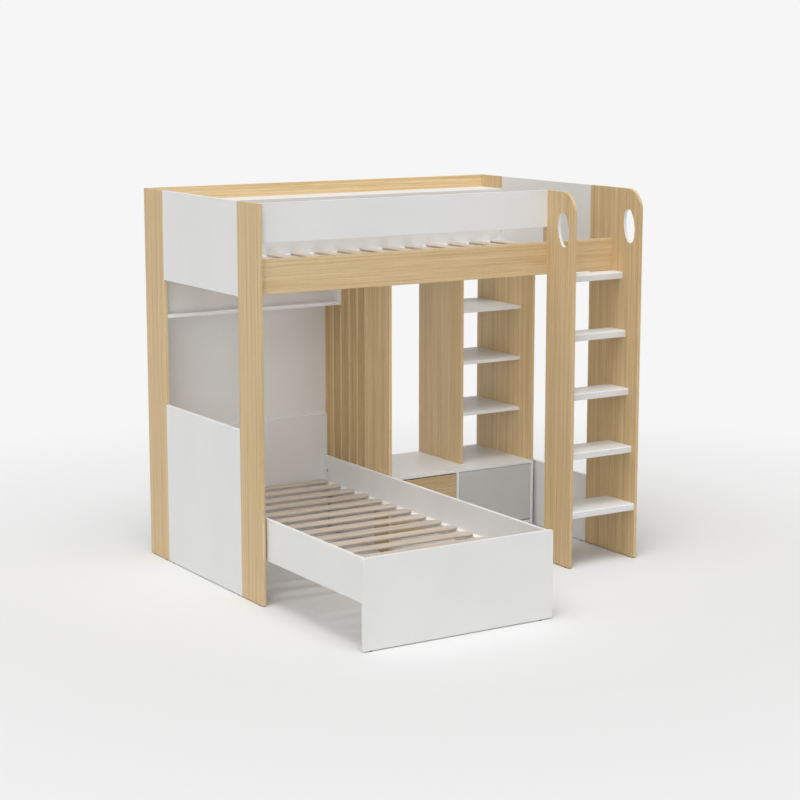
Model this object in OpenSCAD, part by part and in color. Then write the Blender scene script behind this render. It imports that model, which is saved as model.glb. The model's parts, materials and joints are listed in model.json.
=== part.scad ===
// L shaped bunk bed: a high bed with a ladder at its right end, a low bed that stands crosswise under
// it, and a storage unit with open shelves and two drawers beside the low bed. Millimetres, Z up.
// The origin lies on the floor under the middle of the bounding box. X runs along the high bed and
// Y runs along the low bed, towards the wall.

/* [Overall] */
// Length of the high bed over its two ends
bed_w = 1970; // [1900:10:2060]
// Depth of the high bed over its posts
bed_d = 1171; // [1130:1:1240]
// Height of the posts above the floor
bed_h = 1804; // [1780:2:1900]
// Thickness of every board
board_t = 16; // [15:0.5:18]
// Height of the plastic glides under the boards
glide_h = 4; // [3:0.5:6]
// Diameter of the plastic glides
glide_d = 14; // [10:0.5:15]

/* [End frames] */
// Width of the corner posts
post_w = 205; // [180:1:215]
// Height of the panels beside the high mattress
guard_panel_h = 424; // [400:2:500]
// Height of the panel low in the left end
left_base_h = 771; // [600:1:900]
// Height of the panel low in the right end
right_base_h = 343; // [250:1:500]

/* [High bed] */
// Setback of the side rail from the front of the posts
rail_inset = 26; // [18:1:40]
// Top of the side rail below the top of the posts
rail_drop = 246; // [220:1:300]
// Height of the side rail
rail_h = 155; // [140:1:170]
// Height of the guard board above the side rail
guard_rail_h = 175; // [150:1:190]
// Height of the guard board along the wall
rear_guard_h = 63; // [50:1:90]
// Height of the box that hangs over the low bed's head
box_h = 208; // [120:1:280]
// Setback of the box's front behind its frame
box_front_in = 38; // [16:1:60]

/* [Ladder] */
// Clear width between the ladder's side boards
ladder_clear_w = 375; // [340:1:400]
// Reach of the ladder in front of the posts
ladder_reach = 186; // [170:1:220]
// Length of the ladder's inner side behind the front of the guard board
ladder_ear = 32; // [24:1:60]
// Radius of the ladder's top corners
ladder_corner_r = 100; // [60:1:120]
// Top of the lowest step above the floor
step_first = 276; // [240:1:290]
// Top of the highest step below the side rail
step_top_gap = 3; // [0:1:30]
// Depth of the lowest step
step_depth_low = 210; // [190:1:210]
// Depth of the highest step
step_depth_high = 85; // [80:1:120]
// Thickness of a step's tread
tread_t = 18; // [16:1:22]
// Height of a step's nosing
nose_h = 34; // [28:1:40]
// Depth of a step's nosing
nose_d = 26; // [20:1:34]
// Radius along the nosing's edges
nose_r = 6; // [3:0.5:9]
// Width of the two grip grooves in a nosing's front
groove_w = 3; // [2:0.5:4]
// Depth of those grooves
groove_d = 1.5; // [1:0.5:3]
// Width of a hand hole
hand_hole_w = 81; // [70:1:95]
// Height of a hand hole
hand_hole_h = 162; // [120:1:180]
// Middle of a hand hole behind the ladder's front edge
hand_hole_in = 83; // [75:1:100]
// Middle of a hand hole below the top
hand_hole_drop = 180; // [165:1:220]
// Lean of a hand hole's top towards the bed, in degrees
hand_hole_lean = 9; // [0:1:20]

/* [Slats] */
// Width of a slat
slat_w = 63; // [56:1:80]
// Thickness of a slat
slat_t = 12; // [8:0.5:14]
// First slat's middle from the left end of the high bed's frame
high_slat_in = 156; // [60:1:180]
// Last slat's middle from the right end of the high bed's frame
high_slat_out = 66; // [50:1:170]
// First slat's middle from the footboard
low_slat_in = 144; // [60:1:170]
// Last slat's middle from the headboard
low_slat_out = 60; // [50:1:170]
// Number of slats in each bed
slat_count = 14; // [12:1:14]
// Radius of a slat's end corners
slat_end_r = 26; // [10:1:27]
// Gap between a slat's end and the board beside it
slat_end_gap = 16; // [6:1:24]
// Width of the cleats that the slats lie on
cleat_w = 34; // [28:1:44]
// Height of those cleats
cleat_h = 30; // [22:1:40]
// Top of the high bed's slats above the underside of the side rail
high_slat_up = 75; // [54:1:90]
// Top of the low bed's slats below the top of the side rails
low_slat_down = 118; // [90:1:140]

/* [Low bed] */
// Reach of the low bed in front of the high bed's posts
low_reach = 829; // [780:1:900]
// Left side of the low bed, from the high bed's left end
low_inset = 26; // [20:1:40]
// Width of the low bed over its side rails
low_w = 945; // [935:1:947]
// Height of the low bed's side rails above the floor
low_top = 402; // [380:1:430]
// Height of a side rail board
low_rail_h = 192; // [170:1:210]
// Footboard beyond the right side rail
foot_overhang = 21; // [0:1:24]
// Radius of the footboard's top corners
foot_corner_r = 13; // [6:1:20]
// Height of the headboard
head_h = 613; // [560:1:700]

/* [Storage unit] */
// Gap between the low bed and the storage unit
unit_gap = 5; // [4:1:20]
// Gap between the storage unit and the right end
side_gap = 24; // [10:1:60]
// Depth of the screen, from the front of the back panel
screen_depth = 621; // [560:1:680]
// Width of the screen's wide post
screen_post_w = 144; // [120:1:160]
// Number of fins in the screen
fin_count = 5; // [4:1:6]
// Depth of a fin
fin_depth = 50; // [40:1:70]
// Width of the board behind the fins
rear_board_w = 100; // [80:1:140]
// Depth of the cabinet, from the front of the back panel
cabinet_depth = 502; // [440:1:540]
// Top of the cabinet above the floor
cabinet_top_z = 355; // [340:1:380]
// Height of the toe recess under the cabinet
toe_h = 18; // [12:1:40]
// Setback of the plinth behind the drawer fronts
toe_in = 50; // [30:1:80]
// Width of the open shelf bay
shelf_bay_w = 354; // [320:1:400]
// Depth of the shelves
shelf_depth = 399; // [340:1:440]

/* [Drawers] */
// Gap round a drawer front
front_gap = 2; // [1.5:0.5:3]
// Shadow gap over the oak drawer front and under both fronts
shadow_gap = 6; // [4:0.5:12]
// Gap between the cabinet and a drawer's side, for the runner
runner_gap = 12.5; // [12:0.5:14]
// Thickness of a drawer's sides and back
drawer_wall_t = 12; // [10:0.5:15]
// Height of a drawer's sides
drawer_h = 210; // [170:1:250]
// Room behind a drawer
drawer_room = 40; // [20:1:100]
// Thickness of a drawer's bottom
drawer_bottom_t = 5; // [3:0.5:8]
// Height of a drawer's bottom above its sides' lower edge
drawer_bottom_up = 12; // [8:1:20]
// Depth of the groove that holds a drawer's bottom
drawer_groove = 6; // [4:0.5:6]
// Gap under a drawer's sides
drawer_lift = 12; // [8:1:20]

/* [Fittings] */
// Diameter of the wooden dowels
dowel_d = 8; // [6:0.5:8]
// Length of the wooden dowels
dowel_l = 30; // [25:1:35]
// Depth of a dowel in the face of a board
dowel_face = 10; // [8:0.5:11]
// Clearance round a dowel, on its radius
dowel_clear = 0.05; // [0.02:0.01:0.1]
// Diameter of the cam locks
cam_d = 15; // [12:0.5:15]
// Depth of the cam locks
cam_h = 12; // [10:0.5:12.5]
// Diameter of the shelf pins
shelf_pin_d = 5; // [4:0.5:6]
// Thickness of the drawer runners' steel
runner_plate = 1.2; // [1:0.1:1.6]
// Height of the rails on the drawers
runner_h = 22; // [18:1:28]
// Play of those rails in their channels
runner_play = 0.3; // [0.3:0.1:0.8]

/* [Hidden] */

OAK = [0.80, 0.69, 0.50];
WHITE = [0.93, 0.93, 0.92];
GREY = [0.74, 0.74, 0.73];
BIRCH = [0.85, 0.78, 0.66];
STEEL = [0.70, 0.71, 0.72];
BLACK = [0.08, 0.08, 0.08];
t = board_t;
$fn = 48;
eps = 0.01;
past = 1;                                         // how far a cut runs past a face
step_count = 5;                                   // one node for each step
shelf_count = 3;                                  // one node for each shelf

// Along X, from the left end's outer face
x_right = bed_w - t;                              // inner face of the right end
x_ladder = x_right - ladder_clear_w - t;          // left face of the ladder's inner side
x_low_in = low_inset + t;                         // inner face of the low bed's left rail
x_low_out = low_inset + low_w;                    // outer face of the low bed's right rail
unit_x = x_low_out + unit_gap;                    // left face of the storage unit
x_cab = unit_x + t;                               // left face of the cabinet
x_cab_in = x_cab + t;                             // inner face of the cabinet's left side
x_side = x_right - side_gap - t;                  // left face of the right side and side panel
x_divider = x_side - shelf_bay_w - t;             // left face of the tall divider
x_split = (x_cab_in + x_side) / 2;                // middle of the cabinet

// Along Y, from the front of the high bed's posts
y_rail = rail_inset + t;                          // inner face of the side rail
y_rear_post = bed_d - post_w;                     // front of the rear posts and of the ledge
y_back = bed_d - rail_inset - t;                  // front of the back boards
y_head = y_back - t;                              // front of the headboard
y_foot = t - low_reach;                           // inner face of the footboard
screen_front = y_back - screen_depth;
cabinet_front = y_back - cabinet_depth;
shelf_front = y_back - shelf_depth;
y_box = cabinet_front + t;                        // back of the drawer fronts
drawer_l = cabinet_depth - 2 * t - drawer_room;   // length of a drawer's sides
fin_pitch = (screen_depth - screen_post_w) / (fin_count + 1);

// Heights above the floor
z_guard = bed_h - guard_panel_h;
z_rail_top = bed_h - rail_drop;
rail_bottom = z_rail_top - rail_h;
box_bottom_z = rail_bottom - box_h;
high_slat_top = rail_bottom + high_slat_up;
low_slat_top = low_top - low_slat_down;
step_pitch = (rail_bottom - step_top_gap - step_first) / (step_count - 1);
z_ledge = bed_h - rear_guard_h;
z_cab = cabinet_top_z - t;                        // underside of the cabinet's top
z_bay = (rail_bottom - cabinet_top_z - shelf_count * t) / (shelf_count + 1);
z_drawer = toe_h + glide_h + t + drawer_lift;     // underside of a drawer's sides
z_runner = z_drawer + drawer_h / 3;               // underside of the drawers' steel rails

groove_play = 0.2;                                // play of a drawer's bottom in its groove

bench = [-bed_w / 2, (low_reach - bed_d) / 2, 0]; // from the bench corner to the origin

// ---- Shared shapes ----

// Moves bench coordinates to the part's own origin
module placed() {
    translate(bench) children();
}

// A board between two corners
module board(lo, hi) {
    translate(lo) cube(hi - lo);
}

// Turns +Z to the given direction
module along(dir) {
    turn = dir.x > 0 ? [0, 90, 0] : dir.x < 0 ? [0, -90, 0]
         : dir.y > 0 ? [-90, 0, 0] : dir.y < 0 ? [90, 0, 0]
         : dir.z < 0 ? [180, 0, 0] : [0, 0, 0];
    rotate(turn) children();
}

pin_room = 0.5;                                   // room past the end of a pin or cam in its bore

// Pins are [point on the joint, direction into the second board, depth in the first board]
module pins(list) {
    for (p = list) translate(p[0]) along(p[1])
        translate([0, 0, -p[2]]) cylinder(d = dowel_d, h = dowel_l);
}

module pin_holes(list) {
    for (p = list) translate(p[0]) along(p[1])
        translate([0, 0, -p[2] - pin_room])
            cylinder(d = dowel_d + 2 * dowel_clear, h = dowel_l + 2 * pin_room);
}

cam_slot_w = 1.5;                                 // the cross slot that turns a cam
cam_slot_h = 3;

// Cam locks are [middle of the visible face, direction into the board]
module cams(list) {
    for (c = list) translate(c[0]) along(c[1]) difference() {
        cylinder(d = cam_d, h = cam_h);
        for (turn = [0, 90]) rotate(turn) translate([-cam_d / 3, -cam_slot_w / 2, -eps])
            cube([cam_d / 1.5, cam_slot_w, cam_slot_h]);
    }
}

module cam_holes(list) {
    for (c = list) translate(c[0]) along(c[1])
        translate([0, 0, -past]) cylinder(d = cam_d + 2 * dowel_clear, h = cam_h + past + pin_room);
}

// ---- Joints: where the pins and cams are ----

end_pin = dowel_l / 2;                            // equal depth where two edges meet
pin_edge = 30;                                    // distance of a pin from a board's edge
seam_edge = 60;                                   // distance of a seam's end pins from the seam's ends

// Pins across a seam between two boards that lie edge to edge in an end frame
function seam(x, y, z0, z1) = [for (k = [0 : 2])
    [[x, y, z0 + seam_edge + k * (z1 - z0 - 2 * seam_edge) / 2], [0, 1, 0], end_pin]];

// A pair of pins where a board's end meets another board's face
function butt(p, dir, span) = [for (s = [-1, 1]) [p + s * span / 2, dir, dowel_face]];

pins_left = concat(
    seam(t / 2, post_w, z_guard, bed_h), seam(t / 2, y_rear_post, z_guard, bed_h),
    seam(t / 2, post_w, glide_h, glide_h + left_base_h),
    seam(t / 2, y_rear_post, glide_h, glide_h + left_base_h));
pins_right = concat(
    seam(bed_w - t / 2, post_w, z_guard, bed_h), seam(bed_w - t / 2, y_rear_post, z_guard, bed_h),
    seam(bed_w - t / 2, post_w, glide_h, glide_h + right_base_h),
    seam(bed_w - t / 2, y_rear_post, glide_h, glide_h + right_base_h));

rail_mid = [0, rail_inset + t / 2, rail_bottom + rail_h / 2];
guard_mid = [0, rail_inset + t / 2, bed_h - guard_rail_h / 2];
rear_guard_mid = [0, bed_d - t / 2, z_ledge + rear_guard_h / 2];
ledge_front_mid = [0, y_rear_post + t / 2, (rail_bottom + z_ledge - t) / 2];
ledge_back_mid = [0, y_back + t / 2, (rail_bottom + z_ledge - t) / 2];
ledge_top_mid = [0, (y_rear_post + bed_d) / 2, z_ledge - t / 2];
function at_x(p, x) = [x, p.y, p.z];

pins_rail = concat(butt(at_x(rail_mid, t), [1, 0, 0], [0, 0, rail_h - 2 * pin_edge]),
    butt(at_x(rail_mid, x_right), [-1, 0, 0], [0, 0, rail_h - 2 * pin_edge]));
pins_guard = concat(butt(at_x(guard_mid, t), [1, 0, 0], [0, 0, guard_rail_h - 2 * pin_edge]),
    butt(at_x(guard_mid, x_ladder), [-1, 0, 0], [0, 0, guard_rail_h - 2 * pin_edge]));
pins_rear_guard = concat(butt(at_x(rear_guard_mid, t), [1, 0, 0], [0, 0, rear_guard_h / 2]),
    butt(at_x(rear_guard_mid, x_right), [-1, 0, 0], [0, 0, rear_guard_h / 2]));
ledge_span = [0, 0, z_ledge - t - rail_bottom - 4 * pin_edge];
pins_ledge_front = concat(butt(at_x(ledge_front_mid, t), [1, 0, 0], ledge_span),
    butt(at_x(ledge_front_mid, x_right), [-1, 0, 0], ledge_span));
pins_ledge_back = concat(butt(at_x(ledge_back_mid, t), [1, 0, 0], ledge_span),
    butt(at_x(ledge_back_mid, x_right), [-1, 0, 0], ledge_span));
pins_ledge_top = concat(butt(at_x(ledge_top_mid, t), [1, 0, 0], [0, post_w / 2, 0]),
    butt(at_x(ledge_top_mid, x_right), [-1, 0, 0], [0, post_w / 2, 0]));

function step_z(n) = step_first + n * step_pitch;
function step_depth(n) = step_depth_low
    + n * (step_depth_high - step_depth_low) / (step_count - 1);
function step_pins(n) = [for (side = [0, 1])
    each butt([side ? x_right : x_ladder + t, rail_inset - step_depth(n) / 2, step_z(n) - tread_t / 2],
        [side ? -1 : 1, 0, 0], [0, step_depth(n) * 0.4, 0])];
pins_steps = [for (n = [0 : step_count - 1]) each step_pins(n)];

pins_ladder = butt([x_ladder + t / 2, rail_inset, rail_mid.z], [0, -1, 0], [0, 0, rail_h - 2 * pin_edge]);

low_rail_mid = [0, 0, low_top - low_rail_h / 2];
function low_rail_pins(x) = concat(
    butt([x, y_foot, low_rail_mid.z], [0, 1, 0], [0, 0, low_rail_h - 2 * pin_edge]),
    butt([x, y_head, low_rail_mid.z], [0, -1, 0], [0, 0, low_rail_h - 2 * pin_edge]));
pins_low_left = low_rail_pins(low_inset + t / 2);
pins_low_right = low_rail_pins(x_low_out - t / 2);

unit_edge = 80;                                   // the same, in the deep boards of the storage unit
pins_divider = butt([x_divider + t / 2, (shelf_front + y_back) / 2, cabinet_top_z], [0, 0, 1],
    [0, y_back - shelf_front - 2 * unit_edge, 0]);
cabinet_mid_y = (cabinet_front + y_back) / 2;
pins_cab_top = [for (x = [x_cab, x_side]) each butt([x + t / 2, cabinet_mid_y, z_cab], [0, 0, -1],
    [0, cabinet_depth - 2 * unit_edge, 0])];
pins_side = butt([x_side + t / 2, cabinet_mid_y, cabinet_top_z], [0, 0, 1],
    [0, cabinet_depth - 4 * unit_edge, 0]);
cab_bottom_mid = [0, cabinet_mid_y - t / 2, glide_h + toe_h + t / 2];
cab_bottom_span = [0, cabinet_depth - t - 2 * unit_edge, 0];
pins_cab_bottom = concat(butt(at_x(cab_bottom_mid, x_cab_in), [1, 0, 0], cab_bottom_span),
    butt(at_x(cab_bottom_mid, x_side), [-1, 0, 0], cab_bottom_span));
pins_screen = [[[unit_x + t / 2, screen_front + screen_post_w, rail_bottom - t / 2],
    [0, 1, 0], end_pin]];

cam_in = 34;                                      // distance of a cam's middle from the joint
cam_up = 20;                                      // its height over the middle of a low rail
cam_apart = 60;                                   // half the distance between two cams at a joint
cams_rail = [for (x = [t + cam_in, x_right - cam_in]) [[x, y_rail, rail_mid.z], [0, -1, 0]]];
cams_guard = [for (x = [t + cam_in, x_ladder - cam_in]) [[x, y_rail, guard_mid.z], [0, -1, 0]]];
cams_ledge_front = [for (x = [t + cam_in, x_right - cam_in], s = [-1, 1])
    [[x, y_rear_post + t, ledge_front_mid.z + s * cam_apart], [0, -1, 0]]];
cams_low_left = [for (y = [y_foot + cam_in, y_head - cam_in])
    [[x_low_in, y, low_rail_mid.z + cam_up], [-1, 0, 0]]];
cams_low_right = [for (y = [y_foot + cam_in, y_head - cam_in])
    [[x_low_out - t, y, low_rail_mid.z + cam_up], [1, 0, 0]]];

shelf_z = [for (k = [1 : shelf_count]) cabinet_top_z + k * z_bay + (k - 1) * t];
// Shelf pins stick out of the tall panels under each shelf
pin_in = 9;                                       // depth in the panel
pin_out = 8;                                      // reach under the shelf
shelf_pin_list = [for (z = shelf_z, y = [shelf_front + unit_edge, y_back - unit_edge], side = [0, 1])
    [[side ? x_side : x_divider + t, y, z - shelf_pin_d / 2], side ? -1 : 1]];
module shelf_pin_shapes(d, depth, reach) {
    for (p = shelf_pin_list) translate(p[0]) rotate([0, 90 * p[1], 0])
        translate([0, 0, -depth]) cylinder(d = d, h = depth + reach);
}
module shelf_pin_holes() {
    shelf_pin_shapes(shelf_pin_d + 2 * dowel_clear, pin_in + pin_room, past);
}

// ---- End frames ----

module end_board(x, y0, y1, z0, z1, joints) {
    placed() difference() {
        board([x, y0, z0], [x + t, y1, z1]);
        pin_holes(joints);
    }
}

module left_rear_post() {
    color(OAK) end_board(0, y_rear_post, bed_d, glide_h, bed_h, concat(pins_left, pins_rear_guard,
        pins_ledge_front, pins_ledge_back, pins_ledge_top));
}

module left_front_post() {
    color(OAK) end_board(0, 0, post_w, glide_h, bed_h, concat(pins_left, pins_rail, pins_guard));
}

module left_guard_panel() {
    color(WHITE) end_board(0, post_w, y_rear_post, z_guard, bed_h, pins_left);
}

module left_base_panel() {
    color(WHITE) end_board(0, post_w, y_rear_post, glide_h, glide_h + left_base_h, pins_left);
}

module right_rear_post() {
    color(OAK) end_board(x_right, y_rear_post, bed_d, glide_h, bed_h, concat(pins_right,
        pins_rear_guard, pins_ledge_front, pins_ledge_back, pins_ledge_top));
}

module right_guard_panel() {
    color(WHITE) end_board(x_right, post_w, y_rear_post, z_guard, bed_h, pins_right);
}

module right_base_panel() {
    color(WHITE) end_board(x_right, post_w, y_rear_post, glide_h, glide_h + right_base_h, pins_right);
}

// ---- Ladder ----

// A tall board whose top front corner is round, seen along X: width w, height h
module ladder_outline(w, h) {
    square([w, h - ladder_corner_r]);
    translate([ladder_corner_r, 0]) square([w - ladder_corner_r, h]);
    translate([ladder_corner_r, h - ladder_corner_r]) circle(r = ladder_corner_r, $fn = 96);
}

// A tall oval of four arcs that run into each other, the middle at the origin
module oval(w, h) {
    tip_r = 0.35 * w;
    side_r = (w * w / 4 + h * h / 4 - h * tip_r) / (w - 2 * tip_r);
    tip_y = h / 2 - tip_r;
    meet_y = tip_y * side_r / (side_r - tip_r);
    for (s = [-1, 1]) translate([0, s * tip_y]) circle(r = tip_r, $fn = 96);
    intersection() {
        square([w, 2 * meet_y], center = true);
        translate([w / 2 - side_r, 0]) circle(r = side_r, $fn = 360);
        translate([side_r - w / 2, 0]) circle(r = side_r, $fn = 360);
    }
}

// One side board of the ladder with its hand hole
module ladder_side(x, rear_y, bottom) {
    translate([x, -ladder_reach, bottom]) rotate([90, 0, 90]) linear_extrude(t) difference() {
        ladder_outline(rear_y + ladder_reach, bed_h - bottom);
        translate([hand_hole_in, bed_h - bottom - hand_hole_drop]) rotate(-hand_hole_lean)
            oval(hand_hole_w, hand_hole_h);
    }
}

module ladder_outer_side() {
    color(OAK) placed() difference() {
        ladder_side(x_right, post_w, glide_h);
        pin_holes(concat(pins_right, pins_rail, pins_steps));
    }
}

module ladder_inner_side() {
    color(OAK) placed() difference() {
        ladder_side(x_ladder, rail_inset + ladder_ear, glide_h);
        translate([x_ladder - past, rail_inset, 0])
            cube([t + 2 * past, ladder_ear + past, z_rail_top]);
        pin_holes(concat(pins_guard, pins_steps, pins_ladder));
    }
}

// A step's section: x is the depth from its rear edge forwards, y is the height below the tread
module step_section(depth) {
    front = depth - nose_r;
    difference() {
        union() {
            translate([0, -tread_t]) square([front, tread_t]);
            translate([depth - nose_d, -nose_h]) square([nose_d - nose_r, nose_h]);
            translate([front - eps, -nose_h + nose_r]) square([nose_r + eps, nose_h - 2 * nose_r]);
            for (y = [-nose_r, nose_r - nose_h]) translate([front, y]) circle(r = nose_r);
        }
        for (k = [1, 2]) translate([depth - groove_d, -k * nose_h / 3 - groove_w / 2])
            square([groove_d + past, groove_w]);
    }
}

module ladder_step(n) {
    color(WHITE) placed() difference() {
        translate([x_ladder + t, rail_inset, step_z(n)]) rotate([90, 0, 90])
            linear_extrude(ladder_clear_w) mirror([1, 0]) step_section(step_depth(n));
        pin_holes(step_pins(n));
    }
}

// ---- High bed ----

// A board that runs along X at y, with its end joints
module long_board(x0, x1, y, z0, z1, joints, locks) {
    placed() difference() {
        board([x0, y, z0], [x1, y + t, z1]);
        pin_holes(joints);
        cam_holes(locks);
    }
}

module front_side_rail() {
    color(OAK) long_board(t, x_right, rail_inset, rail_bottom, z_rail_top, concat(pins_rail, pins_ladder),
        cams_rail);
}

module front_guard_rail() {
    color(WHITE) long_board(t, x_ladder, rail_inset, bed_h - guard_rail_h, bed_h, pins_guard,
        cams_guard);
}

module rear_guard_rail() {
    color(OAK) long_board(t, x_right, bed_d - t, z_ledge, bed_h, pins_rear_guard, []);
}

module ledge_top() {
    color(WHITE) placed() difference() {
        board([t, y_rear_post, z_ledge - t], [x_right, bed_d, z_ledge]);
        pin_holes(pins_ledge_top);
    }
}

module ledge_front() {
    color(WHITE) long_board(t, x_right, y_rear_post, rail_bottom, z_ledge - t, pins_ledge_front,
        cams_ledge_front);
}

module ledge_back() {
    color(WHITE) long_board(t, x_right, y_back, rail_bottom, z_ledge - t, pins_ledge_back, []);
}

// The box's front lies in a frame of the rear post and the box's bottom, end and top
module box_front() {
    color(GREY) placed() board([t, y_rear_post + box_front_in, box_bottom_z + t],
        [unit_x - t, y_rear_post + box_front_in + t, rail_bottom - t]);
}

module box_bottom() {
    color(WHITE) placed() board([t, y_rear_post, box_bottom_z], [unit_x, y_back, box_bottom_z + t]);
}

module box_top() {
    color(WHITE) placed() board([t, y_rear_post, rail_bottom - t], [unit_x, y_back, rail_bottom]);
}

module box_end() {
    color(WHITE) placed() board([unit_x - t, y_rear_post, box_bottom_z + t],
        [unit_x, y_back, rail_bottom - t]);
}

module back_panel() {
    color(WHITE) placed() board([t, y_back, glide_h], [unit_x, y_back + t, rail_bottom]);
}

// ---- Slats ----

// A slat along X with round corners at its ends
module slat(len) {
    linear_extrude(slat_t) {
        square([len - 2 * slat_end_r, slat_w], center = true);
        square([len, slat_w - 2 * slat_end_r], center = true);
        for (sx = [-1, 1], sy = [-1, 1])
            translate([sx * (len / 2 - slat_end_r), sy * (slat_w / 2 - slat_end_r)])
                circle(r = slat_end_r);
    }
}

high_slat_len = y_rear_post - y_rail - 2 * slat_end_gap;
low_slat_len = low_w - 2 * t - 2 * slat_end_gap;
function spaced(first, last) = [for (k = [0 : slat_count - 1])
    first + k * (last - first) / (slat_count - 1)];

module high_bed_slats() {
    color(BIRCH) placed() for (x = spaced(t + high_slat_in, x_right - high_slat_out))
        translate([x, (y_rail + y_rear_post) / 2, high_slat_top - slat_t])
            rotate(90) slat(high_slat_len);
}

module low_bed_slats() {
    color(BIRCH) placed() for (y = spaced(y_foot + low_slat_in, y_head - low_slat_out))
        translate([low_inset + low_w / 2, y, low_slat_top - slat_t])
            slat(low_slat_len);
}

module high_bed_cleats() {
    top = high_slat_top - slat_t;
    color(WHITE) placed() {
        board([t, y_rail, top - cleat_h], [x_right, y_rail + cleat_w, top]);
        board([t, y_rear_post - cleat_w, top - cleat_h], [x_right, y_rear_post, top]);
    }
}

module low_bed_cleats() {
    top = low_slat_top - slat_t;
    color(WHITE) placed() {
        board([x_low_in, y_foot, top - cleat_h], [x_low_in + cleat_w, y_head, top]);
        board([x_low_out - t - cleat_w, y_foot, top - cleat_h], [x_low_out - t, y_head, top]);
    }
}

// ---- Low bed ----

module headboard() {
    color(WHITE) placed() difference() {
        board([low_inset, y_head, glide_h], [unit_x, y_back, glide_h + head_h]);
        pin_holes(concat(pins_low_left, pins_low_right));
    }
}

module footboard() {
    w = low_w + foot_overhang;
    h = low_top - glide_h;
    r = foot_corner_r;
    color(WHITE) placed() difference() {
        translate([low_inset, y_foot, glide_h]) rotate([90, 0, 0]) linear_extrude(t) {
            square([w, h - r]);
            translate([r, 0]) square([w - 2 * r, h]);
            for (x = [r, w - r]) translate([x, h - r]) circle(r = r);
        }
        pin_holes(concat(pins_low_left, pins_low_right));
    }
}

module low_rail(x, joints, locks) {
    color(WHITE) placed() difference() {
        board([x, y_foot, low_top - low_rail_h], [x + t, y_head, low_top]);
        pin_holes(joints);
        cam_holes(locks);
    }
}

module low_left_rail() {
    low_rail(low_inset, pins_low_left, cams_low_left);
}

module low_right_rail() {
    low_rail(x_low_out - t, pins_low_right, cams_low_right);
}

// ---- Storage unit ----

module screen_post() {
    color(OAK) placed() difference() {
        board([unit_x, screen_front, glide_h], [x_cab, screen_front + screen_post_w, rail_bottom]);
        pin_holes(pins_screen);
    }
}

// Upright fins between the cabinet and the screen's head
module screen_fins() {
    first = screen_front + screen_post_w + fin_pitch;
    color(OAK) placed() for (k = [0 : fin_count - 1])
        board([unit_x, first + k * fin_pitch - t / 2, cabinet_top_z],
            [unit_x + fin_depth, first + k * fin_pitch + t / 2, rail_bottom - t]);
}

module screen_head() {
    color(OAK) placed() difference() {
        board([unit_x, screen_front + screen_post_w, rail_bottom - t],
            [unit_x + fin_depth, y_back, rail_bottom]);
        pin_holes(pins_screen);
    }
}

module screen_rear_board() {
    color(OAK) placed() board([unit_x, y_back, glide_h],
        [unit_x + rear_board_w, y_back + t, rail_bottom]);
}

module divider_panel() {
    color(OAK) placed() difference() {
        board([x_divider, shelf_front, cabinet_top_z], [x_divider + t, y_back, rail_bottom]);
        pin_holes(pins_divider);
        shelf_pin_holes();
    }
}

module side_panel() {
    color(OAK) placed() difference() {
        board([x_side, cabinet_front, cabinet_top_z], [x_side + t, y_back, rail_bottom]);
        pin_holes(pins_side);
        shelf_pin_holes();
    }
}

module shelf(k) {
    color(WHITE) placed() board([x_divider + t + 0.5, shelf_front, shelf_z[k]],
        [x_side - 0.5, y_back, shelf_z[k] + t]);
}

module cabinet_top() {
    color(WHITE) placed() difference() {
        board([x_cab, cabinet_front, z_cab], [x_side + t, y_back, cabinet_top_z]);
        pin_holes(concat(pins_cab_top, pins_divider, pins_side));
    }
}

module cabinet_bottom() {
    color(WHITE) placed() difference() {
        board([x_cab_in, cabinet_front, glide_h + toe_h], [x_side, y_back - t, glide_h + toe_h + t]);
        pin_holes(pins_cab_bottom);
    }
}

module cabinet_side(x) {
    color(WHITE) placed() difference() {
        board([x, cabinet_front, glide_h], [x + t, y_back, z_cab]);
        pin_holes(concat(pins_cab_top, pins_cab_bottom));
    }
}

module cabinet_divider() {
    color(WHITE) placed() board([x_split - t / 2, cabinet_front, glide_h + toe_h + t],
        [x_split + t / 2, y_back - t, z_cab]);
}

module cabinet_back() {
    color(WHITE) placed() board([x_cab_in, y_back - t, glide_h + toe_h], [x_side, y_back, z_cab]);
}

module cabinet_plinth() {
    color(WHITE) placed() board([x_cab_in, cabinet_front + toe_in, glide_h],
        [x_side, cabinet_front + toe_in + t, glide_h + toe_h]);
}

// ---- Drawers ----

// Clear bay of a drawer: 0 is the left one, 1 the right one
function bay_x0(d) = d ? x_split + t / 2 : x_cab_in;
function bay_x1(d) = d ? x_side : x_split - t / 2;
function walls_x0(d) = bay_x0(d) + runner_gap;
function walls_x1(d) = bay_x1(d) - runner_gap;

// A front between the sides, divider, top and bottom of the cabinet
module drawer_front(d, top_gap) {
    placed() board([bay_x0(d) + front_gap, cabinet_front, glide_h + toe_h + t + shadow_gap],
        [bay_x1(d) - front_gap, y_box, z_cab - top_gap]);
}

module left_drawer_front() {
    color(OAK) drawer_front(0, shadow_gap);
}

module right_drawer_front() {
    color(GREY) drawer_front(1, front_gap);
}

// Two sides and a back, grooved for the bottom
module drawer_walls(d) {
    w = drawer_wall_t;
    y1 = y_box + drawer_l;
    color(WHITE) placed() difference() {
        union() {
            board([walls_x0(d), y_box, z_drawer], [walls_x0(d) + w, y1, z_drawer + drawer_h]);
            board([walls_x1(d) - w, y_box, z_drawer], [walls_x1(d), y1, z_drawer + drawer_h]);
            board([walls_x0(d) + w + eps, y1 - w, z_drawer],
                [walls_x1(d) - w - eps, y1, z_drawer + drawer_h]);
        }
        translate([walls_x0(d) + w - drawer_groove, y_box - past, z_drawer + drawer_bottom_up])
            cube([walls_x1(d) - walls_x0(d) - 2 * (w - drawer_groove),
                y1 - w + drawer_groove - y_box + past,
                drawer_bottom_t + 2 * groove_play]);
    }
}

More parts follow.
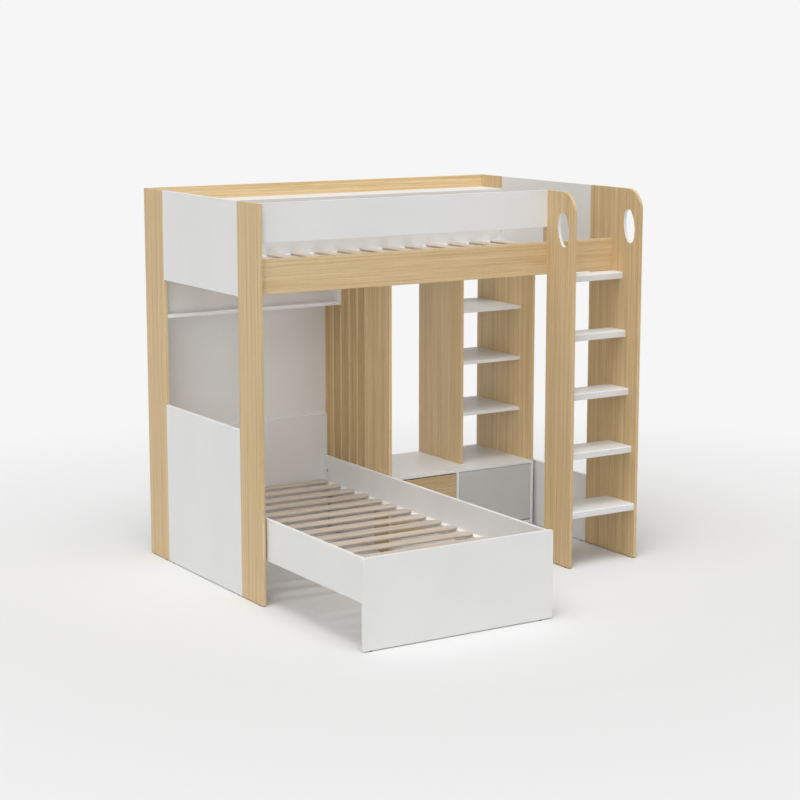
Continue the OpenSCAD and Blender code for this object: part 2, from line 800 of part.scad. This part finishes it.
module drawer_bottom(d) {
    inset = drawer_wall_t - drawer_groove + groove_play;
    z = z_drawer + drawer_bottom_up + groove_play;
    color(WHITE) placed() board([walls_x0(d) + inset, y_box, z],
        [walls_x1(d) - inset, y_box + drawer_l - inset, z + drawer_bottom_t]);
}

runner_in = 4;                                    // from the drawer front to the runners' ends
channel_l = cabinet_depth - 2 * t - runner_in - drawer_room / 2;

// Moving steel rails on the outside of the drawer
module drawer_runners(d) {
    color(STEEL) placed() {
        runner_profile(walls_x0(d), -1);
        runner_profile(walls_x1(d), 1);
    }
}

// A rail flat on the drawer's side, with a foot along its lower edge
module runner_profile(x, side) {
    length = drawer_l - runner_in - drawer_wall_t;
    translate([x, y_box + runner_in, z_runner]) mirror([side < 0 ? 1 : 0, 0, 0]) {
        cube([runner_plate, length, runner_h]);
        cube([runner_gap / 2, length, runner_plate]);
    }
}

// Fixed steel channels on the cabinet's walls, which hold the drawers' rails
module cabinet_runners() {
    color(STEEL) placed() for (d = [0, 1]) {
        runner_channel(bay_x0(d), 1);
        runner_channel(bay_x1(d), -1);
    }
}

module runner_channel(x, side) {
    reach = runner_gap - runner_plate - 2 * runner_play;
    h = runner_h + 2 * (runner_plate + runner_play);
    translate([x, y_box + runner_in, z_runner - runner_plate - runner_play])
        mirror([side < 0 ? 1 : 0, 0, 0]) {
            cube([runner_plate, channel_l, h]);
            cube([reach, channel_l, runner_plate]);
            translate([0, 0, h - runner_plate]) cube([reach, channel_l, runner_plate]);
        }
}

// ---- Fittings ----

// Glides stand under the middle of each board's edge
function glide_row(x0, y0, x1, y1) = [[x0, y0], [x1, y1]];
edge = 40;                                        // distance of a glide from a board's end
glides = concat(
    glide_row(t / 2, edge, t / 2, post_w - edge),
    glide_row(t / 2, y_rear_post + edge, t / 2, bed_d - edge),
    glide_row(t / 2, post_w + edge, t / 2, y_rear_post - edge),
    glide_row(bed_w - t / 2, edge - ladder_reach, bed_w - t / 2, post_w - edge),
    glide_row(bed_w - t / 2, y_rear_post + edge, bed_w - t / 2, bed_d - edge),
    glide_row(bed_w - t / 2, post_w + edge, bed_w - t / 2, y_rear_post - edge),
    glide_row(x_ladder + t / 2, edge - ladder_reach, x_ladder + t / 2, rail_inset - edge),
    glide_row(t + edge, y_back + t / 2, unit_x - edge, y_back + t / 2),
    glide_row(low_inset + edge, y_head + t / 2, unit_x - edge, y_head + t / 2),
    glide_row(low_inset + edge, y_foot - t / 2, low_inset + low_w - edge, y_foot - t / 2),
    glide_row(unit_x + t / 2, screen_front + edge,
        unit_x + t / 2, screen_front + screen_post_w - edge),
    glide_row(unit_x + edge / 2, y_back + t / 2, unit_x + rear_board_w - edge / 2, y_back + t / 2),
    glide_row(x_cab + t / 2, cabinet_front + edge, x_cab + t / 2, y_back - edge),
    glide_row(x_side + t / 2, cabinet_front + edge, x_side + t / 2, y_back - edge),
    glide_row(x_cab_in + edge, cabinet_front + toe_in + t / 2,
        x_side - edge, cabinet_front + toe_in + t / 2));

module floor_glides() {
    color(BLACK) placed() for (g = glides) translate([g.x, g.y, 0]) cylinder(d = glide_d, h = glide_h);
}

module dowels() {
    color(BIRCH) placed() pins(concat(pins_left, pins_right, pins_rail, pins_guard, pins_rear_guard,
        pins_ledge_front, pins_ledge_back, pins_ledge_top, pins_steps, pins_ladder,
        pins_low_left, pins_low_right, pins_divider, pins_side, pins_cab_top, pins_cab_bottom,
        pins_screen));
}

module cam_locks() {
    color(STEEL) placed() cams(concat(cams_rail, cams_guard, cams_ledge_front, cams_low_left,
        cams_low_right));
}

module shelf_pins() {
    color(STEEL) placed() shelf_pin_shapes(shelf_pin_d, pin_in, pin_out);
}

left_rear_post();
left_front_post();
left_guard_panel();
left_base_panel();
right_rear_post();
right_guard_panel();
right_base_panel();
ladder_outer_side();
ladder_inner_side();
ladder_step(0);  // ladder_step_1
ladder_step(1);  // ladder_step_2
ladder_step(2);  // ladder_step_3
ladder_step(3);  // ladder_step_4
ladder_step(4);  // ladder_step_5
front_side_rail();
front_guard_rail();
rear_guard_rail();
ledge_top();
ledge_front();
ledge_back();
box_front();
box_bottom();
box_top();
box_end();
back_panel();
high_bed_cleats();
high_bed_slats();
headboard();
footboard();
low_left_rail();
low_right_rail();
low_bed_cleats();
low_bed_slats();
screen_post();
screen_fins();
screen_head();
screen_rear_board();
divider_panel();
side_panel();
shelf(0);  // shelf_1
shelf(1);  // shelf_2
shelf(2);  // shelf_3
cabinet_top();
cabinet_bottom();
cabinet_side(x_cab);  // cabinet_left_side
cabinet_side(x_side);  // cabinet_right_side
cabinet_divider();
cabinet_back();
cabinet_plinth();
cabinet_runners();
left_drawer_front();
drawer_walls(0);  // left_drawer_walls
drawer_bottom(0);  // left_drawer_bottom
drawer_runners(0);  // left_drawer_runners
right_drawer_front();
drawer_walls(1);  // right_drawer_walls
drawer_bottom(1);  // right_drawer_bottom
drawer_runners(1);  // right_drawer_runners
floor_glides();
dowels();
cam_locks();
shelf_pins();
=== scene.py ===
"""Looks of the L shaped bunk bed. Metres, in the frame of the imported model."""

import json
import math

import bmesh
import bpy
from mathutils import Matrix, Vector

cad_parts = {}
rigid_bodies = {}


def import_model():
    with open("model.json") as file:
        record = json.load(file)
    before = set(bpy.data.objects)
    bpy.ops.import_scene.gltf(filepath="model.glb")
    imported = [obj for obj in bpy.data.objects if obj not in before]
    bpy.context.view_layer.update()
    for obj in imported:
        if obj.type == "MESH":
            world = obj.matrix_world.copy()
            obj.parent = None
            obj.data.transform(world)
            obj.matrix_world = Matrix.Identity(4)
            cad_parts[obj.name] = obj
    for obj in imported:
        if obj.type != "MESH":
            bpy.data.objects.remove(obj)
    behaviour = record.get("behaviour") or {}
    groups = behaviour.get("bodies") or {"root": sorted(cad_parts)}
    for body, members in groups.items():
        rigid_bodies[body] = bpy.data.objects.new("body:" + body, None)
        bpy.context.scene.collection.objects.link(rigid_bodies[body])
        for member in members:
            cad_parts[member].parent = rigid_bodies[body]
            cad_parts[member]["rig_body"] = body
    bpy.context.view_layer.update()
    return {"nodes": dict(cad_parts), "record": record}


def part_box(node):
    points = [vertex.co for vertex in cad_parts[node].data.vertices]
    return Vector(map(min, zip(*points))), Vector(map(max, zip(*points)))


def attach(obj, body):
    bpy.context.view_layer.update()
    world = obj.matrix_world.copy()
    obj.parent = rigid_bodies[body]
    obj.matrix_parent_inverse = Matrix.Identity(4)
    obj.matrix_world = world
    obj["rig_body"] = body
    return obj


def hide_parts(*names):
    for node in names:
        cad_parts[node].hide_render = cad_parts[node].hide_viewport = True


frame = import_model()
scene = bpy.context.scene
slots = {entry["node"]: entry["material_slot"] for entry in frame["record"]["subparts"]}


def linear(red, green, blue):
    """An sRGB colour of 0 to 255 as linear light."""
    return tuple(
        c / 12.92 if c <= 0.04045 else ((c + 0.055) / 1.055) ** 2.4
        for c in (red / 255, green / 255, blue / 255)
    )


# ---- Camera and light ----

CAMERA_PLACE = (-5.097, -7.909, 2.480)
CAMERA_YAW = 31.99  # degrees to the right of +Y
CAMERA_PITCH = 9.97  # degrees below the horizon
CAMERA_LENS = 90.84  # mm
CAMERA_SENSOR = 36  # mm
CAMERA_REACH = 200  # how far it sees

WORLD_LEVEL = 0.27
BACKDROP_GREY = 0.922
SUNS = {  # level, degrees across for soft shadows, degrees turned from straight down
    "top_sun": (0.65, 24.0, (14.0, -12.0, 0.0)),
    "wide_top_sun": (1.81, 60.0, (14.0, -12.0, 0.0)),
    "front_left_sun": (0.64, 40.0, (70.0, 0.0, -45.0)),
}
FILL_LEVEL = 1.5  # a soft fill under the high bed, facing its back
FILL_SIZE = (1.50, 0.86)
FILL_PLACE = (-0.185, -0.110, 0.900)
FILL_TURN = 90  # degrees about X from straight down

FLOOR_HALF = 60.0
FLOOR_ALBEDO = 0.748
FADE_NEAR = 1.9  # distance from the middle where the floor starts to fade into the backdrop
FADE_FAR = 4.2  # and where it has faded

# ---- Shapes ----

EASE_R = 0.0008  # rounding of a board's edges
EASE_STEPS = 2
SLAT_EASE_R = 0.0050  # rounding of a slat's edges
SLAT_EASE_STEPS = 3
BORE_EDGE = 0.0013  # edges shorter than this lie on a bore and stay sharp
WELD = 1e-6  # corners closer than this are one
FLAT = math.radians(0.2)  # faces that turn less than this are one
TURN = math.radians(30)  # edges that turn more than this are rounded
HARD = math.radians(50)  # edges that turn more than this stay hard in the shading
SIDEWAYS = 0.6  # a face looks sideways where X in its normal is more than this
HAND_HOLE_IN = 0.084  # middle of a hand hole behind the front edge of its ladder side
HAND_HOLE_DOWN = 0.180  # middle of a hand hole below the top of its ladder side
HAND_HOLE_REACH = 0.090  # the hole's wall lies within this of its middle

# ---- Colours ----

OAK_DARK = linear(194, 163, 113)
OAK_MID = linear(211, 184, 140)
OAK_LIGHT = linear(225, 201, 159)
OAK_PORE = linear(150, 120, 82)
OAK_PAINTED_LIGHT = {  # painted light and shade: some nodes made lighter or darker than the rest, lighter where more light reaches them, darker where they lie in shade
    "left_drawer_front": 0.84,
    "rear_guard_rail": 1.25,
    "screen_fins": 0.84,
    "side_panel": 1.08,
}
FIN_EDGE_PAINTED_LIGHT = 1.10  # painted highlight: the fins' narrow sideways edges made lighter, as if lit from the side
WHITE = (linear(228, 228, 227), linear(231, 231, 230))
GREY = (linear(193, 193, 191), linear(196, 196, 194))
BOX_GREY = (linear(213, 210, 206), linear(216, 213, 209))
BIRCH_DARK = linear(178, 163, 146)
BIRCH_MID = linear(195, 181, 165)
BIRCH_LIGHT = linear(208, 195, 180)
STEEL_DARK = linear(176, 179, 182)
STEEL_LIGHT = linear(200, 202, 204)
PLASTIC_DARK = linear(30, 30, 31)
PLASTIC_LIGHT = linear(40, 40, 41)

# ---- Textures: noise cycles to the metre, in wood with the grain last ----

OAK_BANDS = (34, 34, 0.55)
OAK_FIGURE = (130, 130, 0.9)
OAK_FIBRES = (420, 420, 7)
OAK_PORES = (1500, 1500, 32)
OAK_CUT = (0.731, 1.317, 2.113)  # how far the grain moves from one board to the next
BIRCH_BANDS = (22, 40, 1.1)
BIRCH_FIBRES = (500, 500, 9)
BIRCH_CUT = (3.7, 1.9, 0.4)
BOARD_CLOUD = (3, 3, 3)
BOARD_PEARL = (900, 900, 900)
STEEL_BRUSH = (900, 40, 900)
STEEL_CLOUD = (60, 60, 60)
PLASTIC_SPECK = (1500, 1500, 1500)

OAK_RELIEF = 0.00012
BIRCH_RELIEF = 0.00015
BOARD_RELIEF = 0.00004
STEEL_RELIEF = 0.00003
PLASTIC_RELIEF = 0.00005
REFRACTION = 1.45

SLAT_NODES = {"high_bed_slats": "y", "low_bed_slats": "x"}  # grain's axis
GRAIN = {"screen_fins": "z", "screen_head": "y", "left_drawer_front": "x"}  # else the longest


def linked(name, data):
    """A new object of the scene."""
    obj = bpy.data.objects.new(name, data)
    scene.collection.objects.link(obj)
    return obj


def make_camera():
    data = bpy.data.cameras.new("camera")
    data.sensor_width = CAMERA_SENSOR
    data.lens = CAMERA_LENS
    data.clip_end = CAMERA_REACH
    camera = linked("camera", data)
    camera.location = CAMERA_PLACE
    camera.rotation_euler = (
        math.radians(90 - CAMERA_PITCH),
        0,
        math.radians(-CAMERA_YAW),
    )
    scene.camera = camera


def make_light():
    for name, (level, across, turn) in SUNS.items():
        data = bpy.data.lights.new(name, "SUN")
        data.energy = level
        data.angle = math.radians(across)
        sun = linked(name, data)
        sun.rotation_euler = [math.radians(t) for t in turn]
    data = bpy.data.lights.new("inner_fill", "AREA")
    data.shape = "RECTANGLE"
    data.size, data.size_y = FILL_SIZE
    data.energy = FILL_LEVEL
    fill = linked("inner_fill", data)
    fill.location = FILL_PLACE
    fill.rotation_euler = (math.radians(FILL_TURN), 0, 0)
    fill.visible_camera = False
    fill.visible_glossy = False


# ---- Shader nodes ----


class Nodes:
    """Adds and links the shader nodes of one tree."""

    def __init__(self, tree):
        self.tree = tree
        self.tree.nodes.clear()

    def add(self, kind, inputs=None, **settings):
        node = self.tree.nodes.new(kind)
        for name, value in settings.items():
            setattr(node, name, value)
        for name, value in (inputs or {}).items():
            self.put(node.inputs[name], value)
        return node

    def put(self, socket, value):
        if isinstance(value, bpy.types.NodeSocket):
            self.tree.links.new(value, socket)
        else:
            socket.default_value = value

    def math(self, operation, *values):
        node = self.add("ShaderNodeMath", operation=operation)
        for socket, value in zip(node.inputs, values):
            self.put(socket, value)
        return node.outputs[0]

    def blend(self, *parts):
        """The sum of some values, each times its share."""
        total = None
        for value, share in parts:
            part = self.math("MULTIPLY", value, share)
            total = part if total is None else self.math("ADD", total, part)
        return total

    def vector(self, operation, *values):
        node = self.add("ShaderNodeVectorMath", dict(enumerate(values)), operation=operation)
        return node.outputs[0]

    def noise(self, vector, scale, detail=2.0, roughness=0.5):
        inputs = {
            "Vector": self.vector("MULTIPLY", vector, scale),
            "Scale": 1.0,
            "Detail": detail,
            "Roughness": roughness,
        }
        return self.add("ShaderNodeTexNoise", inputs).outputs["Fac"]

    def ramp(self, value, *stops):
        node = self.add("ShaderNodeValToRGB", {"Fac": value})
        elements = node.color_ramp.elements
        while len(elements) < len(stops):
            elements.new(0.5)
        for element, (place, color) in zip(elements, stops):
            element.position = place
            element.color = (*color, 1)
        return node.outputs["Color"]

    def remap(self, value, low, high, to_low, to_high):
        inputs = {
            "Value": value,
            "From Min": low,
            "From Max": high,
            "To Min": to_low,
            "To Max": to_high,
        }
        return self.add("ShaderNodeMapRange", inputs).outputs["Result"]

    def place(self):
        """The point on the surface, in the object's own coordinates."""
        return self.add("ShaderNodeTexCoord").outputs["Object"]

    def along_grain(self, axis, cut):
        """The same point, turned so that its third coordinate runs along the grain."""
        x, y, z = self.add("ShaderNodeSeparateXYZ", {0: self.place()}).outputs
        across, up, along = {"x": (y, z, x), "y": (x, z, y), "z": (x, y, z)}[axis]
        joined = self.add("ShaderNodeCombineXYZ", {"X": across, "Y": up, "Z": along})
        return self.vector("ADD", joined.outputs[0], cut)

    def seen(self):
        """1 for what the camera sees, also in a reflection or through glass."""
        rays = self.add("ShaderNodeLightPath").outputs
        direct = self.math("MAXIMUM", rays["Is Camera Ray"], rays["Is Transmission Ray"])
        return self.math("MAXIMUM", direct, rays["Is Glossy Ray"])

    def mixed(self, share, first, second, output):
        """Two shaders mixed into the output."""
        mix = self.add("ShaderNodeMixShader")
        for socket, value in zip(mix.inputs, (share, first, second)):
            self.put(socket, value)
        self.put(self.add(output).inputs["Surface"], mix.outputs[0])

    def surface(self, color, roughness, height, relief):
        """The finished shader with its colour, roughness and bump."""
        inputs = {"Height": height, "Distance": relief, "Strength": 1.0}
        bump = self.add("ShaderNodeBump", inputs)
        inputs = {"Base Color": color, "Roughness": roughness, "Normal": bump.outputs[0]}
        shader = self.add("ShaderNodeBsdfPrincipled", inputs)
        shader.inputs["IOR"].default_value = REFRACTION
        self.put(self.add("ShaderNodeOutputMaterial").inputs["Surface"], shader.outputs[0])
        return shader


def new_material(name):
    material = bpy.data.materials.new(name)
    material.use_nodes = True
    return material, Nodes(material.node_tree)


# ---- World and floor ----


def plain(level):
    return (level, level, level, 1)


def make_world():
    world = bpy.data.worlds.new("studio")
    world.use_nodes = True
    scene.world = world
    nodes = Nodes(world.node_tree)
    light = nodes.add("ShaderNodeBackground", {"Color": plain(1), "Strength": WORLD_LEVEL})
    backdrop = nodes.add(
        "ShaderNodeBackground", {"Color": plain(BACKDROP_GREY), "Strength": 1.0}
    )
    nodes.mixed(nodes.seen(), light.outputs[0], backdrop.outputs[0], "ShaderNodeOutputWorld")


def make_floor():
    mesh = bpy.data.meshes.new("floor")
    s = FLOOR_HALF
    mesh.from_pydata([(-s, -s, 0), (s, -s, 0), (s, s, 0), (-s, s, 0)], [], [(0, 1, 2, 3)])
    floor = linked("floor", mesh)
    material, nodes = new_material("floor")
    place = nodes.add("ShaderNodeNewGeometry").outputs["Position"]
    away = nodes.add("ShaderNodeVectorMath", {0: place}, operation="LENGTH").outputs["Value"]
    faded = nodes.remap(away, FADE_NEAR, FADE_FAR, 0.0, 1.0)
    shown = nodes.math("MULTIPLY", faded, nodes.seen())
    matte = nodes.add("ShaderNodeBsdfDiffuse", {"Color": plain(FLOOR_ALBEDO)})
    glow = nodes.add("ShaderNodeEmission", {"Color": plain(BACKDROP_GREY), "Strength": 1.0})
    nodes.mixed(shown, matte.outputs[0], glow.outputs[0], "ShaderNodeOutputMaterial")
    mesh.materials.append(material)


# ---- Materials ----


def oak(name, axis, index, painted_lightness=1.0):
    """Oak decor with straight grain along the given axis, another cut for each board; its
    colours are scaled lighter or darker by the last argument as painted light or shade.
    """
    dark, mid, light = ([c * painted_lightness for c in color] for color in (OAK_DARK, OAK_MID, OAK_LIGHT))
    material, nodes = new_material(name)
    place = nodes.along_grain(axis, [index * step for step in OAK_CUT])
    bands = nodes.noise(place, OAK_BANDS, detail=3.0, roughness=0.55)
    figure = nodes.noise(place, OAK_FIGURE, detail=3.0, roughness=0.6)
    fibres = nodes.noise(place, OAK_FIBRES, detail=3.0, roughness=0.6)
    pores = nodes.noise(place, OAK_PORES, detail=1.0)
    blend = nodes.blend((bands, 0.24), (figure, 0.48), (fibres, 0.28))
    color = nodes.ramp(blend, (0.38, dark), (0.50, mid), (0.62, light))
    pore = nodes.remap(pores, 0.60, 0.72, 0.0, 0.30)
    darker = nodes.add(
        "ShaderNodeMix", {"Factor": pore}, data_type="RGBA", blend_type="MULTIPLY"
    )
    nodes.put(darker.inputs[6], color)
    nodes.put(darker.inputs[7], (*OAK_PORE, 1))
    roughness = nodes.remap(fibres, 0.3, 0.7, 0.46, 0.58)
    height = nodes.math("SUBTRACT", nodes.math("MULTIPLY", fibres, 0.4), pore)
    nodes.surface(darker.outputs[2], roughness, height, OAK_RELIEF)
    return material


def plain_board(name, tones):
    """Plain decor with a fine pearl texture."""
    material, nodes = new_material(name)
    place = nodes.place()
    cloud = nodes.noise(place, BOARD_CLOUD, detail=3.0)
    pearl = nodes.noise(place, BOARD_PEARL, detail=1.0)
    color = nodes.ramp(cloud, (0.35, tones[0]), (0.65, tones[1]))
    roughness = nodes.remap(pearl, 0.3, 0.7, 0.40, 0.50)
    nodes.surface(color, roughness, pearl, BOARD_RELIEF)
    return material


def birch(name, axis):
    """Pale sanded laminate of the slats, with grain along the axis."""
    material, nodes = new_material(name)
    place = nodes.along_grain(axis, BIRCH_CUT)
    bands = nodes.noise(place, BIRCH_BANDS, detail=3.0, roughness=0.6)
    fibres = nodes.noise(place, BIRCH_FIBRES, detail=3.0, roughness=0.65)
    blend = nodes.blend((bands, 0.6), (fibres, 0.4))
    color = nodes.ramp(blend, (0.38, BIRCH_DARK), (0.52, BIRCH_MID), (0.66, BIRCH_LIGHT))
    roughness = nodes.remap(fibres, 0.3, 0.7, 0.55, 0.70)
    nodes.surface(color, roughness, fibres, BIRCH_RELIEF)
    return material


def steel():
    """Zinc plated sheet steel."""
    material, nodes = new_material("steel")
    place = nodes.place()
    brushed = nodes.noise(place, STEEL_BRUSH)
    cloud = nodes.noise(place, STEEL_CLOUD)
    color = nodes.ramp(cloud, (0.3, STEEL_DARK), (0.7, STEEL_LIGHT))
    roughness = nodes.remap(brushed, 0.3, 0.7, 0.28, 0.42)
    shader = nodes.surface(color, roughness, brushed, STEEL_RELIEF)
    shader.inputs["Metallic"].default_value = 1.0
    return material


def black_plastic():
    """Moulded black plastic."""
    material, nodes = new_material("black_plastic")
    speck = nodes.noise(nodes.place(), PLASTIC_SPECK, detail=1.0)
    color = nodes.ramp(speck, (0.3, PLASTIC_DARK), (0.7, PLASTIC_LIGHT))
    roughness = nodes.remap(speck, 0.3, 0.7, 0.50, 0.62)
    nodes.surface(color, roughness, speck, PLASTIC_RELIEF)
    return material


def paint(piece, material):
    piece.data.materials.clear()
    piece.data.materials.append(material)


def paint_some(piece, material, chosen):
    """A second material on the chosen faces."""
    piece.data.materials.append(material)
    for polygon in piece.data.polygons:
        if chosen(polygon):
            polygon.material_index = 1


def looks_sideways(polygon):
    return abs(polygon.normal.x) > SIDEWAYS


def line_hand_hole(piece, node, material):
    """The second material on the wall of a ladder side's hand hole."""
    low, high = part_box(node)
    y, z = low[1] + HAND_HOLE_IN, high[2] - HAND_HOLE_DOWN

    def on_wall(polygon):
        away = math.hypot(polygon.center.y - y, polygon.center.z - z)
        return not looks_sideways(polygon) and away < HAND_HOLE_REACH

    paint_some(piece, material, on_wall)


# ---- Boards ----


def eased(node, radius=EASE_R, steps=EASE_STEPS):
    """A copy of a CAD board with the edges of its outline rounded. It stands for the board."""
    source = frame["nodes"][node]
    mesh = source.data.copy()
    mesh.name = node + "_eased"
    bm = bmesh.new()
    bm.from_mesh(mesh)
    bmesh.ops.remove_doubles(bm, verts=bm.verts, dist=WELD)
    bmesh.ops.dissolve_limit(
        bm,
        angle_limit=FLAT,
        use_dissolve_boundaries=False,
        verts=bm.verts,
        edges=bm.edges,
    )
    outline = [
        e
        for e in bm.edges
        if e.is_manifold and e.calc_face_angle() > TURN and e.calc_length() > BORE_EDGE
    ]
    bmesh.ops.bevel(
        bm,
        geom=outline,
        offset=radius,
        offset_type="OFFSET",
        segments=steps,
        profile=0.5,
        affect="EDGES",
        clamp_overlap=True,
    )
    bmesh.ops.triangulate(bm, faces=bm.faces)
    bmesh.ops.recalc_face_normals(bm, faces=bm.faces)
    bm.to_mesh(mesh)
    bm.free()
    for polygon in mesh.polygons:
        polygon.use_smooth = True
    mesh.set_sharp_from_angle(angle=HARD)
    piece = linked(node + "_eased", mesh)
    modifier = piece.modifiers.new("flat_faces", "WEIGHTED_NORMAL")
    modifier.keep_sharp = True
    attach(piece, source["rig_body"])
    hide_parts(node)
    return piece


def long_axis(node):
    low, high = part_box(node)
    size = [b - a for a, b in zip(low, high)]
    return "xyz"[size.index(max(size))]


def dress_oak(node, index, lining):
    axis = GRAIN.get(node) or long_axis(node)
    piece = eased(node)
    # the oak's colours scaled by the painted light and shade of its node
    paint(piece, oak("oak_" + node, axis, index, OAK_PAINTED_LIGHT.get(node, 1.0)))
    # painted light and shade on the fins: their faces darker through the tone table, their
    # sideways edges a lighter copy of the oak as a painted highlight
    if node == "screen_fins":
        painted_lit_edges = oak("oak_painted_lit_edges", axis, index, FIN_EDGE_PAINTED_LIGHT)
        paint_some(piece, painted_lit_edges, looks_sideways)
    if node in ("ladder_inner_side", "ladder_outer_side"):
        line_hand_hole(piece, node, lining)


def dress():
    """Each CAD node gets its material, and each board and slat its eased copy."""
    white = plain_board("white_board", WHITE)
    grey = plain_board("grey_board", GREY)
    box_grey = plain_board("box_grey_board", BOX_GREY)
    metal = steel()
    plastic = black_plastic()
    for index, (node, obj) in enumerate(sorted(frame["nodes"].items())):
        slot = slots[node]
        if slot == "oak_board":
            dress_oak(node, index, white)
        elif node in SLAT_NODES:
            slats = eased(node, SLAT_EASE_R, SLAT_EASE_STEPS)
            paint(slats, birch("birch_" + node, SLAT_NODES[node]))
        elif slot == "grey_board":
            paint(eased(node), box_grey if node == "box_front" else grey)
        elif node.startswith("ladder_step"):  # their nosings are round in the source
            paint(obj, white)
        elif slot == "white_board":
            paint(eased(node), white)
        elif slot == "birch":
            paint(obj, birch("birch_dowels", "x"))
        elif slot == "steel":
            paint(obj, metal)
        else:
            paint(obj, plastic)


make_camera()
make_light()
make_world()
make_floor()
dress()
scene.view_settings.view_transform = "Standard"
